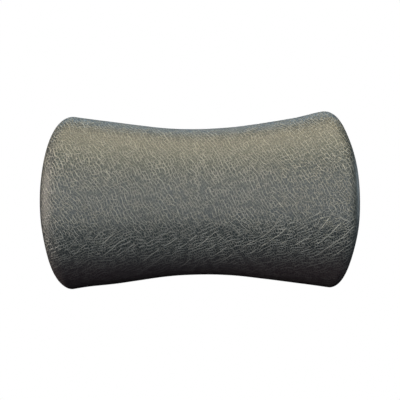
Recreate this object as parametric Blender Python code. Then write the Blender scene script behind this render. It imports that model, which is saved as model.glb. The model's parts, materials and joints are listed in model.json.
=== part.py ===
"""Chair headrest attachment.

A moulded neck pad of self-skinned polyurethane foam, narrower at its waist than at its ends, on a tilting
and height-adjusting fitting that stays behind the pad. X runs along the pad, +Y points back to the chair
and +Z is up. The origin is the middle of the chair plate's rear face.
"""

import math

import bmesh
import bpy
from mathutils import Matrix, Vector

MM = 0.001
GAP = 0.3 * MM  # between pieces that touch on the real object
CUT_SLACK = 2 * MM  # how far a cutter runs past the wall it cuts

# Pad, seen from the front: how wide, how tall at its ends and at its waist
PAD_WIDTH = 280 * MM
PAD_END_HEIGHT = 162 * MM
PAD_WAIST_HEIGHT = 138 * MM
PAD_WAIST_ARC = 48 * MM  # half the length of the curved waist, beyond which the edges run straight
PAD_END_BOW = 11.4 * MM  # how far each end bows out at mid height
# Pad, seen from the side, measured from the plane where it is tallest
PAD_END_FRONT = 56 * MM
PAD_WAIST_FRONT = 46 * MM
PAD_BACK = 16 * MM
PAD_BACK_CORNER = 14 * MM
PAD_END_ROUND = 16 * MM
PAD_END_ROUND_BACK = 8 * MM
PAD_FULLNESS = 2.25  # 2 is an ellipse, more is squarer

# Plywood board moulded into the back of the pad
BOARD_WIDTH = 190 * MM
BOARD_HEIGHT = 92 * MM
BOARD_THICK = 9 * MM
BOARD_CORNER = 14 * MM

# Machine screws with hexagon sockets, and the T-nuts in the board
SCREW_RADIUS = 3 * MM
SCREW_HEAD_RADIUS = 5.5 * MM
SCREW_HEAD_HEIGHT = 3.2 * MM
SCREW_CROWN_RADIUS = 3.4 * MM
SOCKET_RADIUS = 2.3 * MM
SOCKET_DEPTH = 1.8 * MM
TNUT_WALL = 1.2 * MM
TNUT_FLANGE_RADIUS = 9 * MM
TNUT_FLANGE_THICK = 1.2 * MM
BRACKET_SCREW_X = 32 * MM
BRACKET_SCREW_Z = 22 * MM

# Wood screws with cross recesses that hold the cover
COVER_SCREW_RADIUS = 1.8 * MM
COVER_SCREW_TIP_RADIUS = 0.7 * MM
COVER_SCREW_TIP_LENGTH = 2.5 * MM
COVER_SCREW_HEAD_RADIUS = 3.6 * MM
COVER_SCREW_CROWN_RADIUS = 2.2 * MM
COVER_SCREW_HEAD_HEIGHT = 2.2 * MM
COVER_SCREW_INSET = 11 * MM  # from the board's edges
CROSS_LENGTH = 3.4 * MM
CROSS_WIDTH = 0.8 * MM
CROSS_DEPTH = 1.2 * MM

# Steel bracket on the board, with the two ears that carry the pivot
BRACKET_MARGIN = 10 * MM  # from the screws' centres to the bracket's edge
BRACKET_THICK = 3 * MM
BRACKET_CORNER = 8 * MM
EAR_THICK = 3 * MM
EAR_RADIUS = 10 * MM

# Plastic cover over the board and the bracket's base
COVER_OVERLAP = 7 * MM  # past the board, all round
COVER_WALL = 2.5 * MM
COVER_FLANGE = 3 * MM
COVER_ROOM = 1.2 * MM  # around the bracket and over its screw heads
MOUTH_ROOM = 3.5 * MM  # round the pivot, where it comes through the cover

# Tilt pivot
KNUCKLE_WIDTH = 30 * MM
KNUCKLE_RADIUS = 9 * MM
NECK_INSET = 1.5 * MM  # of the neck's sides from the knuckle's
NECK_HEIGHT = 14 * MM
PIVOT_RADIUS = 4 * MM
PIVOT_HEAD_RADIUS = 7.5 * MM
PIVOT_HEAD_THICK = 4.5 * MM
PIVOT_CROWN_RADIUS = 4.2 * MM
PIVOT_TO_BRACKET = 12 * MM
PIVOT_TO_CARRIAGE = 14 * MM
SLEEVE_WALL = 1.7 * MM
FRICTION_THICK = 1.5 * MM
DISC_SPRING_THICK = 0.9 * MM
DISC_SPRING_RADIUS = 8 * MM
NUT_ACROSS_CORNERS = 14 * MM
NUT_THICK = 7 * MM
BOLT_END = 1.5 * MM  # how far the bolt stands out of its nut

# Height slide: a carriage round a flat bar, which stands off the chair plate on two spacers
TRAVEL = 20 * MM  # each way
BAR_WIDTH = 32 * MM
BAR_THICK = 5 * MM
SCREW_EDGE = 3 * MM  # of a spacer, past the head of the screw through it
SLIDE_GAP = 0.4 * MM
CARRIAGE_HEIGHT = 40 * MM
CARRIAGE_BACK_WALL = 5.4 * MM
CARRIAGE_FRONT_WALL = 6 * MM
CARRIAGE_SIDE_WALL = 8.6 * MM
CARRIAGE_CORNER = 2.5 * MM
CARRIAGE_TO_PLATE = 2 * MM
STOP_ROOM = 4 * MM  # left between the carriage and the spacers at each end of the travel
PLATE_THICK = 4 * MM
PLATE_WIDTH = 60 * MM
PLATE_CORNER = 6 * MM
PLATE_HOLE_RADIUS = 3.3 * MM
PLATE_HOLE_INSET = 8 * MM  # from each edge of the plate to the centre of its holes
PLATE_MARGIN = 2 * MM  # of the plate past the bar's ends

# Clamp: a hand knob whose stud pushes a brake shoe on to the edge of the bar
STUD_RADIUS = 3 * MM
INSERT_WALL = 1.7 * MM
INSERT_LENGTH = 11 * MM
SHOE_THICK = 2.4 * MM
BOSS_LENGTH = 6 * MM
BOSS_WALL = 3 * MM
KNOB_RADIUS = 13 * MM
KNOB_NECK_RADIUS = 9 * MM
KNOB_END_RADIUS = 11.4 * MM
KNOB_LENGTH = 16 * MM
KNOB_SHOULDER = 4 * MM
KNOB_ROUND = 2 * MM
KNOB_LOBES = 6
KNOB_LOBE_DEPTH = 1.6 * MM
KNOB_STANDOFF = 1.5 * MM
KNOB_CAP_RADIUS = 7.5 * MM
KNOB_CAP_THICK = 1.6 * MM
STUD_GRIP = 9 * MM  # of the stud, inside the knob

# How finely round shapes are made
ROUND_SIDES = 32
SMALL_SIDES = 20
CORNER_STEPS = 6
LOBE_STEPS = 8
FRONT_STEPS = 24
PAD_BODY_STEPS = 20
PAD_ROUND_STEPS = 5
PAD_END_SHARES = (0.75, 0.45, 0.15)  # of the end ring, for the rings that close each end
SMOOTH_ANGLE = math.radians(35)

# Places along Y, from the chair's face at 0 to the front of the pad
plate_front = -PLATE_THICK
spacer_back = plate_front - GAP
spacer_front = spacer_back - CARRIAGE_TO_PLATE - CARRIAGE_BACK_WALL - SLIDE_GAP
bar_back = spacer_front - GAP
bar_front = bar_back - BAR_THICK
bar_middle = (bar_back + bar_front) / 2
carriage_back = bar_back + SLIDE_GAP + CARRIAGE_BACK_WALL
carriage_front = bar_front - SLIDE_GAP - CARRIAGE_FRONT_WALL
pivot_y = carriage_front - PIVOT_TO_CARRIAGE
bracket_back = pivot_y - PIVOT_TO_BRACKET
bracket_front = bracket_back - BRACKET_THICK
board_back = bracket_front - GAP
board_front = board_back - BOARD_THICK
pad_back = board_back
pad_tall_plane = pad_back - PAD_BACK
cover_front = pad_back + GAP
cover_flange_back = cover_front + COVER_FLANGE
cover_inner_back = bracket_back + GAP + SCREW_HEAD_HEIGHT + COVER_ROOM
cover_back = cover_inner_back + COVER_WALL

# Places along X on the pivot, from the middle outwards
knuckle_side = KNUCKLE_WIDTH / 2
friction_inner = knuckle_side + GAP
ear_inner = friction_inner + FRICTION_THICK + GAP
ear_outer = ear_inner + EAR_THICK
spring_inner = ear_outer + GAP
nut_inner = spring_inner + DISC_SPRING_THICK + GAP
nut_outer = nut_inner + NUT_THICK
bolt_end = nut_outer + BOLT_END
sleeve_bore = PIVOT_RADIUS + GAP
sleeve_radius = sleeve_bore + SLEEVE_WALL
knuckle_bore = sleeve_radius + GAP

# Places along X on the clamp
bar_edge = BAR_WIDTH / 2
shoe_inner = bar_edge + GAP
shoe_outer = shoe_inner + SHOE_THICK
insert_bore = STUD_RADIUS + GAP
insert_radius = insert_bore + INSERT_WALL
carriage_side = bar_edge + SLIDE_GAP + CARRIAGE_SIDE_WALL
boss_end = carriage_side + BOSS_LENGTH
insert_inner = boss_end - INSERT_LENGTH
knob_inner = boss_end + KNOB_STANDOFF
knob_outer = knob_inner + KNOB_LENGTH
stud_end = knob_inner + STUD_GRIP

# Places along Z on the bar
carriage_reach = CARRIAGE_HEIGHT / 2 + TRAVEL
spacer_inner = carriage_reach + STOP_ROOM
rail_screw_z = spacer_inner + SCREW_EDGE + SCREW_HEAD_RADIUS
bar_end = rail_screw_z + SCREW_HEAD_RADIUS + SCREW_EDGE
plate_height = 2 * (bar_end + PLATE_MARGIN)


def clear_scene():
    for obj in list(bpy.data.objects):
        bpy.data.objects.remove(obj)


def make_material(name, colour, roughness, metallic=0.0):
    made = bpy.data.materials.new(name)
    made.use_nodes = True
    shader = made.node_tree.nodes["Principled BSDF"]
    shader.inputs["Base Color"].default_value = (*colour, 1)
    shader.inputs["Roughness"].default_value = roughness
    shader.inputs["Metallic"].default_value = metallic
    return made


def make_empty(name, parent=None, place=(0, 0, 0)):
    """An empty at a world place, for the pieces that move together."""
    empty = bpy.data.objects.new(name, None)
    bpy.context.scene.collection.objects.link(empty)
    empty.location = place
    attach(empty, parent)
    return empty


def add_object(name, mesh, material, parent=None, place=(0, 0, 0)):
    obj = bpy.data.objects.new(name, mesh)
    bpy.context.scene.collection.objects.link(obj)
    obj.location = place
    if material is not None and not mesh.materials:
        mesh.materials.append(material)
    attach(obj, parent)
    return obj


def attach(obj, parent):
    """Parents an object where it stands in the world."""
    if parent is None:
        return
    bpy.context.view_layer.update()
    obj.parent = parent
    obj.matrix_parent_inverse = parent.matrix_world.inverted()


def weld(bm):
    bmesh.ops.remove_doubles(bm, verts=bm.verts, dist=0.001 * MM)


def finish_mesh(name, bm):
    """Turns a closed bmesh's faces outward and shades it smooth where it curves."""
    bmesh.ops.recalc_face_normals(bm, faces=bm.faces)
    mesh = bpy.data.meshes.new(name)
    bm.to_mesh(mesh)
    bm.free()
    mesh.shade_smooth()
    mesh.set_sharp_from_angle(angle=SMOOTH_ANGLE)
    return mesh


def add_loop(bm, points, closed=True):
    """Edges through the points, in order."""
    verts = [bm.verts.new(point) for point in points]
    pairs = list(zip(verts, verts[1:]))
    if closed:
        pairs.append((verts[-1], verts[0]))
    return [bm.edges.new(pair) for pair in pairs]


def bridged(name, rings):
    """A closed solid through rings of points, filled at both ends."""
    bm = bmesh.new()
    loops = [add_loop(bm, ring) for ring in rings]
    for first, second in zip(loops, loops[1:]):
        bmesh.ops.bridge_loops(bm, edges=first + second)
    for end in (loops[0], loops[-1]):
        bmesh.ops.contextual_create(bm, geom=end)
    return finish_mesh(name, bm)


def turned(name, profile, sides=ROUND_SIDES, bore=None):
    """A solid spun round the X axis from (x, radius) points, with an optional bore right through."""
    outline = list(profile)
    if bore is not None:
        outline = [(profile[0][0], bore)] + outline + [(profile[-1][0], bore)]
    bm = bmesh.new()
    edges = add_loop(bm, [(x, 0, radius) for x, radius in outline], closed=bore is not None)
    geometry = edges + list(bm.verts)
    bmesh.ops.spin(bm, geom=geometry, cent=(0, 0, 0), axis=(1, 0, 0), angle=2 * math.pi, steps=sides)
    weld(bm)
    bmesh.ops.holes_fill(bm, edges=bm.edges)
    return finish_mesh(name, bm)


def turned_to_back(name, profile, sides=ROUND_SIDES, bore=None):
    """The same, spun round the Y axis."""
    mesh = turned(name, profile, sides, bore)
    mesh.transform(Matrix.Rotation(math.pi / 2, 4, "Z"))
    return mesh


def box(name, low, high, corner=0):
    """A box between two corners, with its edges along Y rounded if asked."""
    low, high = Vector(low), Vector(high)
    bm = bmesh.new()
    bmesh.ops.create_cube(bm, size=1)
    bmesh.ops.scale(bm, verts=bm.verts, vec=high - low)
    bmesh.ops.translate(bm, verts=bm.verts, vec=(low + high) / 2)
    if corner:
        along_y = [edge for edge in bm.edges if abs(edge.verts[0].co.y - edge.verts[1].co.y) > GAP]
        bmesh.ops.bevel(bm, geom=along_y, offset=corner, segments=CORNER_STEPS, profile=0.5, affect="EDGES")
    return finish_mesh(name, bm)


def slab(name, width, height, corner, y_low, y_high):
    """A plate centred on the Y axis with round corners."""
    return box(name, (-width / 2, y_low, -height / 2), (width / 2, y_high, height / 2), corner)


def combine(target, mesh, place, operation):
    """A live Boolean on target with a hidden guide."""
    guide = add_object(target.name + "_" + mesh.name, mesh, None, target.parent, place)
    guide.hide_render = True
    guide.display_type = "WIRE"
    modifier = target.modifiers.new(mesh.name, "BOOLEAN")
    modifier.operation = operation
    modifier.object = guide


def cut(target, mesh, place=(0, 0, 0)):
    combine(target, mesh, place, "DIFFERENCE")


def join(target, mesh, place=(0, 0, 0)):
    combine(target, mesh, place, "UNION")


def drill(target, radius, y_low, y_high, places, sides=SMALL_SIDES):
    """Round holes along Y at each (x, z)."""
    for x, z in places:
        profile = [(y_low - CUT_SLACK, radius), (y_high + CUT_SLACK, radius)]
        cut(target, turned_to_back("hole", profile, sides), (x, 0, z))


def corners_of(x, z):
    return {
        "upper_left": (-x, z),
        "upper_right": (x, z),
        "lower_left": (-x, -z),
        "lower_right": (x, -z),
    }


def bracket_screw_places():
    return corners_of(BRACKET_SCREW_X, BRACKET_SCREW_Z)


def cover_screw_places():
    return corners_of(BOARD_WIDTH / 2 - COVER_SCREW_INSET, BOARD_HEIGHT / 2 - COVER_SCREW_INSET)


def flare(x):
    """How far the edge has left the waist's line at x: a shallow arc, then its tangent."""
    reach = abs(x)
    arc = min(reach, PAD_WAIST_ARC)
    return arc * arc / 2 + (reach - arc) * PAD_WAIST_ARC


def pad_section(half_height, front, back):
    """A ring of (y, z) round the pad, y counted from the plane where it is tallest."""
    power = 2 / PAD_FULLNESS
    ring = []
    for i in range(FRONT_STEPS + 1):
        turn = math.pi * (0.5 - i / FRONT_STEPS)
        rise = math.copysign(abs(math.sin(turn)) ** power, turn)
        ring.append((-front * abs(math.cos(turn)) ** power, half_height * rise))
    corner = []
    for i in range(1, CORNER_STEPS + 1):
        turn = math.pi / 2 * i / CORNER_STEPS
        corner.append((back * math.sin(turn), half_height - PAD_BACK_CORNER * (1 - math.cos(turn))))
    lower = [(y, -z) for y, z in corner]
    return ring + lower + corner[::-1]


def pad_ring(x, inset=0, share=1):
    """The pad's ring at x: drawn in by a part of its end rounding, shrunk to a share, bowed like the ends."""
    end_x = PAD_WIDTH / 2 - PAD_END_ROUND
    spread = flare(x) / flare(end_x)
    half_height = PAD_WAIST_HEIGHT / 2 + spread * (PAD_END_HEIGHT - PAD_WAIST_HEIGHT) / 2
    front = PAD_WAIST_FRONT + spread * (PAD_END_FRONT - PAD_WAIST_FRONT)
    rounding = inset * PAD_END_ROUND
    section = pad_section(half_height - rounding, front - rounding, PAD_BACK - inset * PAD_END_ROUND_BACK)
    middle = (PAD_BACK - front) / 2
    out = x / (PAD_WIDTH / 2)
    ring = []
    for y, z in section:
        height = z * share
        drop = PAD_END_BOW * out * abs(out) * (2 * height / PAD_END_HEIGHT) ** 2
        ring.append((x - drop, pad_tall_plane + middle + (y - middle) * share, height))
    return ring


def pad_rings():
    straight = PAD_WIDTH / 2 - PAD_END_ROUND
    stations = [(straight * (2 * i / PAD_BODY_STEPS - 1), 0, 1) for i in range(PAD_BODY_STEPS + 1)]
    right = []
    for i in range(1, PAD_ROUND_STEPS + 1):
        turn = math.pi / 2 * i / PAD_ROUND_STEPS
        right.append((straight + PAD_END_ROUND * math.sin(turn), 1 - math.cos(turn), 1))
    right += [(PAD_WIDTH / 2, 1, share) for share in PAD_END_SHARES]
    left = [(-x, inset, share) for x, inset, share in reversed(right)]
    return [pad_ring(*station) for station in left + stations + right]


def make_pad(parent, skin):
    """The foam, hollowed behind for the board and for the T-nuts' flanges."""
    pad = add_object("head_pad", bridged("head_pad", pad_rings()), skin, parent)
    width = BOARD_WIDTH + 2 * GAP
    height = BOARD_HEIGHT + 2 * GAP
    corner = BOARD_CORNER + GAP
    pocket_front = board_front - GAP
    cut(pad, slab("board_pocket", width, height, corner, pocket_front, pad_back + CUT_SLACK))
    recess_front = pocket_front - TNUT_FLANGE_THICK - GAP
    radius = TNUT_FLANGE_RADIUS + GAP
    recess = [(recess_front, radius), (pocket_front + CUT_SLACK, radius)]
    for x, z in bracket_screw_places().values():
        cut(pad, turned_to_back("tnut_recess", recess, SMALL_SIDES), (x, 0, z))


def make_board(parent, wood):
    mesh = slab("insert_board", BOARD_WIDTH, BOARD_HEIGHT, BOARD_CORNER, board_front, board_back)
    board = add_object("insert_board", mesh, wood, parent)
    barrel_hole = SCREW_RADIUS + GAP + TNUT_WALL + GAP
    drill(board, barrel_hole, board_front, board_back, bracket_screw_places().values())
    drill(board, COVER_SCREW_RADIUS + GAP, board_front, board_back, cover_screw_places().values())


def make_tnuts(parent, zinc):
    """T-nuts let in from the front of the board."""
    flange_back = board_front - GAP
    bore = SCREW_RADIUS + GAP
    profile = [
        (flange_back - TNUT_FLANGE_THICK, TNUT_FLANGE_RADIUS),
        (flange_back, TNUT_FLANGE_RADIUS),
        (flange_back, bore + TNUT_WALL),
        (board_back - GAP, bore + TNUT_WALL),
    ]
    mesh = turned_to_back("t_nut", profile, SMALL_SIDES, bore)
    for where, (x, z) in bracket_screw_places().items():
        add_object("t_nut_" + where, mesh, zinc, parent, (x, 0, z))


def hexagon_socket(open_end, inward):
    """A cutter round X that sinks a hexagon socket; inward is +1 or -1 along X."""
    low, high = sorted((open_end - inward * CUT_SLACK, open_end + inward * SOCKET_DEPTH))
    return turned("socket", [(low, SOCKET_RADIUS), (high, SOCKET_RADIUS)], 6)


def make_bracket_screws(parent, zinc):
    """Machine screws from behind the bracket into the T-nuts."""
    head_front = bracket_back + GAP
    head_back = head_front + SCREW_HEAD_HEIGHT
    profile = [
        (board_front + GAP, SCREW_RADIUS),
        (head_front, SCREW_RADIUS),
        (head_front, SCREW_HEAD_RADIUS),
        (head_front + SCREW_HEAD_HEIGHT / 2, SCREW_HEAD_RADIUS),
        (head_back, SCREW_CROWN_RADIUS),
    ]
    mesh = turned_to_back("bracket_screw", profile, SMALL_SIDES)
    for where, (x, z) in bracket_screw_places().items():
        screw = add_object("bracket_screw_" + where, mesh, zinc, parent, (x, 0, z))
        socket = hexagon_socket(head_back, -1)
        socket.transform(Matrix.Rotation(math.pi / 2, 4, "Z"))
        cut(screw, socket, (x, 0, z))


def make_bracket(parent, steel):
    """A plate on the board with an ear each side of the knuckle."""
    width = 2 * (BRACKET_SCREW_X + BRACKET_MARGIN)
    height = 2 * (BRACKET_SCREW_Z + BRACKET_MARGIN)
    base = slab("pad_bracket", width, height, BRACKET_CORNER, bracket_front, bracket_back)
    bracket = add_object("pad_bracket", base, steel, parent)
    root = bracket_back - BRACKET_THICK / 2
    outline = [(root, EAR_RADIUS), (root, -EAR_RADIUS)]
    for i in range(2 * CORNER_STEPS + 1):
        turn = math.pi * (i / (2 * CORNER_STEPS) - 0.5)
        outline.append((pivot_y + EAR_RADIUS * math.cos(turn), EAR_RADIUS * math.sin(turn)))
    for side in (-1, 1):
        rings = [[(side * x, y, z) for y, z in outline] for x in (ear_inner, ear_outer)]
        join(bracket, bridged("ear", rings))
    drill(bracket, SCREW_RADIUS + GAP, bracket_front, bracket_back, bracket_screw_places().values())
    reach = ear_outer + CUT_SLACK
    cut(bracket, turned("pivot_hole", [(-reach, PIVOT_RADIUS + GAP), (reach, PIVOT_RADIUS + GAP)]), (0, pivot_y, 0))


def make_cover(parent, plastic):
    """A flange over the board's edge, raised in the middle to house the bracket and open for the pivot."""
    width = BOARD_WIDTH + 2 * COVER_OVERLAP
    height = BOARD_HEIGHT + 2 * COVER_OVERLAP
    corner = BOARD_CORNER + COVER_OVERLAP
    mesh = slab("rear_cover", width, height, corner, cover_front, cover_flange_back)
    cover = add_object("rear_cover", mesh, plastic, parent)
    inner_width = 2 * (BRACKET_SCREW_X + BRACKET_MARGIN + COVER_ROOM)
    inner_height = 2 * (BRACKET_SCREW_Z + BRACKET_MARGIN + COVER_ROOM)
    inner_corner = BRACKET_CORNER + COVER_ROOM
    hood_width = inner_width + 2 * COVER_WALL
    hood_height = inner_height + 2 * COVER_WALL
    hood_front = cover_flange_back - COVER_FLANGE / 2
    join(cover, slab("hood", hood_width, hood_height, inner_corner + COVER_WALL, hood_front, cover_back))
    hollow_front = cover_front - CUT_SLACK
    cut(cover, slab("hollow", inner_width, inner_height, inner_corner, hollow_front, cover_inner_back))
    mouth_width = 2 * (bolt_end + MOUTH_ROOM)
    mouth_height = 2 * (EAR_RADIUS + MOUTH_ROOM)
    mouth_front = cover_inner_back - CUT_SLACK
    cut(cover, slab("mouth", mouth_width, mouth_height, MOUTH_ROOM, mouth_front, cover_back + CUT_SLACK))
    screw_holes = cover_screw_places().values()
    drill(cover, COVER_SCREW_RADIUS + GAP, cover_front, cover_flange_back, screw_holes)


def make_cover_screws(parent, zinc):
    tip = board_front + GAP
    head_front = cover_flange_back + GAP
    head_back = head_front + COVER_SCREW_HEAD_HEIGHT
    profile = [
        (tip, COVER_SCREW_TIP_RADIUS),
        (tip + COVER_SCREW_TIP_LENGTH, COVER_SCREW_RADIUS),
        (head_front, COVER_SCREW_RADIUS),
        (head_front, COVER_SCREW_HEAD_RADIUS),
        (head_front + COVER_SCREW_HEAD_HEIGHT / 2, COVER_SCREW_HEAD_RADIUS),
        (head_back, COVER_SCREW_CROWN_RADIUS),
    ]
    mesh = turned_to_back("cover_screw", profile, SMALL_SIDES)
    low_y, high_y = head_back - CROSS_DEPTH, head_back + CUT_SLACK
    long, short = CROSS_LENGTH / 2, CROSS_WIDTH / 2
    for where, (x, z) in cover_screw_places().items():
        screw = add_object("cover_screw_" + where, mesh, zinc, parent, (x, 0, z))
        cut(screw, box("slot", (-long, low_y, -short), (long, high_y, short)), (x, 0, z))
        cut(screw, box("cross_slot", (-short, low_y, -long), (short, high_y, long)), (x, 0, z))


def make_pivot(pad_parent, carriage_parent, zinc, brass, fibre):
    """The bolt with its head at the left, and what is threaded on it."""
    axis = (0, pivot_y, 0)
    head_inner = -(ear_outer + GAP)
    head_outer = head_inner - PIVOT_HEAD_THICK
    profile = [
        (head_outer, PIVOT_CROWN_RADIUS),
        (head_outer + PIVOT_HEAD_THICK / 2, PIVOT_HEAD_RADIUS),
        (head_inner, PIVOT_HEAD_RADIUS),
        (head_inner, PIVOT_RADIUS),
        (bolt_end, PIVOT_RADIUS),
    ]
    bolt = add_object("pivot_bolt", turned("pivot_bolt", profile), zinc, pad_parent, axis)
    cut(bolt, hexagon_socket(head_outer, 1), axis)

    clear = PIVOT_RADIUS + GAP
    profile = [(spring_inner, DISC_SPRING_RADIUS), (spring_inner + DISC_SPRING_THICK, DISC_SPRING_RADIUS)]
    add_object("disc_spring", turned("disc_spring", profile, bore=clear), zinc, pad_parent, axis)
    profile = [(nut_inner, NUT_ACROSS_CORNERS / 2), (nut_outer, NUT_ACROSS_CORNERS / 2)]
    flat_clear = clear / math.cos(math.pi / 6)
    add_object("pivot_lock_nut", turned("pivot_lock_nut", profile, 6, flat_clear), zinc, pad_parent, axis)

    profile = [(-knuckle_side, sleeve_radius), (knuckle_side, sleeve_radius)]
    add_object("pivot_sleeve", turned("pivot_sleeve", profile, bore=sleeve_bore), brass, carriage_parent, axis)
    for side, word in ((-1, "left"), (1, "right")):
        low, high = sorted((side * friction_inner, side * (friction_inner + FRICTION_THICK)))
        mesh = turned("friction_washer", [(low, KNUCKLE_RADIUS), (high, KNUCKLE_RADIUS)], bore=sleeve_bore)
        add_object("friction_washer_" + word, mesh, fibre, carriage_parent, axis)


def make_carriage(parent, nylon):
    """A block round the bar, with a neck and knuckle in front and the clamp's boss at its right."""
    width, height = 2 * carriage_side, CARRIAGE_HEIGHT
    mesh = slab("carriage_block", width, height, CARRIAGE_CORNER, carriage_front, carriage_back)
    carriage = add_object("carriage_block", mesh, nylon, parent)
    neck_side = knuckle_side - NECK_INSET
    neck_low = (-neck_side, pivot_y + PIVOT_RADIUS, -NECK_HEIGHT / 2)
    neck_high = (neck_side, carriage_front + CARRIAGE_FRONT_WALL / 2, NECK_HEIGHT / 2)
    join(carriage, box("neck", neck_low, neck_high))
    on_pivot = (0, pivot_y, 0)
    join(carriage, turned("knuckle", [(-knuckle_side, KNUCKLE_RADIUS), (knuckle_side, KNUCKLE_RADIUS)]), on_pivot)
    on_clamp = (0, bar_middle, 0)
    boss_radius = insert_radius + GAP + BOSS_WALL
    boss_root = carriage_side - CARRIAGE_SIDE_WALL / 2
    join(carriage, turned("boss", [(boss_root, boss_radius), (boss_end, boss_radius)]), on_clamp)
    room = bar_edge + SLIDE_GAP
    reach = CARRIAGE_HEIGHT / 2 + CUT_SLACK
    cut(carriage, box("bar_room", (-room, bar_front - SLIDE_GAP, -reach), (room, bar_back + SLIDE_GAP, reach)))
    reach = knuckle_side + CUT_SLACK
    cut(carriage, turned("sleeve_bore", [(-reach, knuckle_bore), (reach, knuckle_bore)]), on_pivot)
    bore = insert_radius + GAP
    cut(carriage, turned("insert_bore", [(bar_edge, bore), (boss_end + CUT_SLACK, bore)]), on_clamp)


def knob_ring(x, radius):
    """A ring of lobes at x."""
    sides = KNOB_LOBES * LOBE_STEPS
    ring = []
    for i in range(sides):
        turn = 2 * math.pi * i / sides
        reach = radius - KNOB_LOBE_DEPTH * (1 - math.cos(KNOB_LOBES * turn)) / 2
        ring.append((x, reach * math.cos(turn), reach * math.sin(turn)))
    return ring


def make_clamp(carriage_parent, shoe_parent, knob_parent, zinc, brass, plastic):
    axis = (0, bar_middle, 0)
    profile = [(insert_inner, insert_radius), (boss_end, insert_radius)]
    add_object("threaded_insert", turned("threaded_insert", profile, bore=insert_bore), brass, carriage_parent, axis)
    profile = [(shoe_inner, insert_radius), (shoe_outer, insert_radius)]
    add_object("brake_shoe", turned("brake_shoe", profile), brass, shoe_parent, axis)
    profile = [(shoe_outer + GAP, STUD_RADIUS), (stud_end, STUD_RADIUS)]
    add_object("clamp_stud", turned("clamp_stud", profile, SMALL_SIDES), zinc, knob_parent, axis)

    rings = [
        knob_ring(knob_inner, KNOB_NECK_RADIUS),
        knob_ring(knob_inner + KNOB_SHOULDER, KNOB_RADIUS),
        knob_ring(knob_outer - KNOB_ROUND, KNOB_RADIUS),
        knob_ring(knob_outer, KNOB_END_RADIUS),
    ]
    knob = add_object("clamp_knob", bridged("clamp_knob", rings), plastic, knob_parent, axis)
    socket_radius = STUD_RADIUS + GAP
    socket = [(knob_inner - CUT_SLACK, socket_radius), (stud_end + GAP, socket_radius)]
    cut(knob, turned("stud_socket", socket, SMALL_SIDES), axis)
    cap_inner = knob_outer - KNOB_CAP_THICK
    recess_radius = KNOB_CAP_RADIUS + GAP
    recess = [(cap_inner - GAP, recess_radius), (knob_outer + CUT_SLACK, recess_radius)]
    cut(knob, turned("cap_recess", recess), axis)
    profile = [(cap_inner, KNOB_CAP_RADIUS), (knob_outer, KNOB_CAP_RADIUS)]
    add_object("knob_cap", turned("knob_cap", profile), plastic, knob_parent, axis)


def make_rail(parent, steel, zinc, nylon):
    """What the chair holds: the plate, the spacers, the bar and the screws through them."""
    mesh = slab("chair_plate", PLATE_WIDTH, plate_height, PLATE_CORNER, plate_front, 0)
    plate = add_object("chair_plate", mesh, steel, parent)
    fixing_holes = corners_of(PLATE_WIDTH / 2 - PLATE_HOLE_INSET, plate_height / 2 - PLATE_HOLE_INSET)
    drill(plate, PLATE_HOLE_RADIUS, plate_front, 0, fixing_holes.values())
    clear = SCREW_RADIUS + GAP
    rail_holes = ((0, rail_screw_z), (0, -rail_screw_z))
    drill(plate, clear, plate_front, 0, rail_holes)
    mesh = box("slide_bar", (-bar_edge, bar_front, -bar_end), (bar_edge, bar_back, bar_end))
    bar = add_object("slide_bar", mesh, steel, parent)
    drill(bar, clear, bar_front, bar_back, rail_holes)

    head_back = bar_front - GAP
    head_front = head_back - SCREW_HEAD_HEIGHT
    profile = [
        (head_front, SCREW_CROWN_RADIUS),
        (head_front + SCREW_HEAD_HEIGHT / 2, SCREW_HEAD_RADIUS),
        (head_back, SCREW_HEAD_RADIUS),
        (head_back, SCREW_RADIUS),
        (-GAP, SCREW_RADIUS),
    ]
    screw_mesh = turned_to_back("rail_screw", profile, SMALL_SIDES)
    for side, word in ((1, "upper"), (-1, "lower")):
        low_z, high_z = sorted((side * spacer_inner, side * bar_end))
        mesh = box("spacer", (-bar_edge, spacer_front, low_z), (bar_edge, spacer_back, high_z))
        spacer = add_object("spacer_" + word, mesh, nylon, parent)
        place = (0, 0, side * rail_screw_z)
        drill(spacer, clear, spacer_front, spacer_back, [(0, side * rail_screw_z)])
        screw = add_object("rail_screw_" + word, screw_mesh, zinc, parent, place)
        socket = hexagon_socket(head_front, 1)
        socket.transform(Matrix.Rotation(math.pi / 2, 4, "Z"))
        cut(screw, socket, place)


def main():
    clear_scene()
    skin = make_material("polyurethane_skin", (0.045, 0.048, 0.047), 0.42)
    wood = make_material("plywood", (0.42, 0.29, 0.16), 0.7)
    steel = make_material("black_steel", (0.03, 0.03, 0.032), 0.45, 0.4)
    zinc = make_material("zinc_plated_steel", (0.55, 0.56, 0.58), 0.32, 1.0)
    brass = make_material("brass", (0.65, 0.48, 0.2), 0.3, 1.0)
    nylon = make_material("black_nylon", (0.035, 0.036, 0.038), 0.55)
    cover_plastic = make_material("cover_plastic", (0.04, 0.041, 0.043), 0.6)
    knob_plastic = make_material("knob_plastic", (0.03, 0.03, 0.032), 0.4)
    fibre = make_material("friction_fibre", (0.16, 0.11, 0.07), 0.85)

    rail = make_empty("rail")
    carriage = make_empty("carriage", rail)
    headrest = make_empty("headrest", carriage, (0, pivot_y, 0))
    shoe = make_empty("shoe", carriage, (0, bar_middle, 0))
    knob = make_empty("knob", shoe, (0, bar_middle, 0))

    make_rail(rail, steel, zinc, nylon)
    make_carriage(carriage, nylon)
    make_pivot(headrest, carriage, zinc, brass, fibre)
    make_clamp(carriage, shoe, knob, zinc, brass, knob_plastic)
    make_pad(headrest, skin)
    make_board(headrest, wood)
    make_tnuts(headrest, zinc)
    make_bracket(headrest, steel)
    make_bracket_screws(headrest, zinc)
    make_cover(headrest, cover_plastic)
    make_cover_screws(headrest, zinc)


main()
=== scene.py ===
import json
import math

import bpy
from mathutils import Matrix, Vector
from mathutils import noise as noiseField

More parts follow.
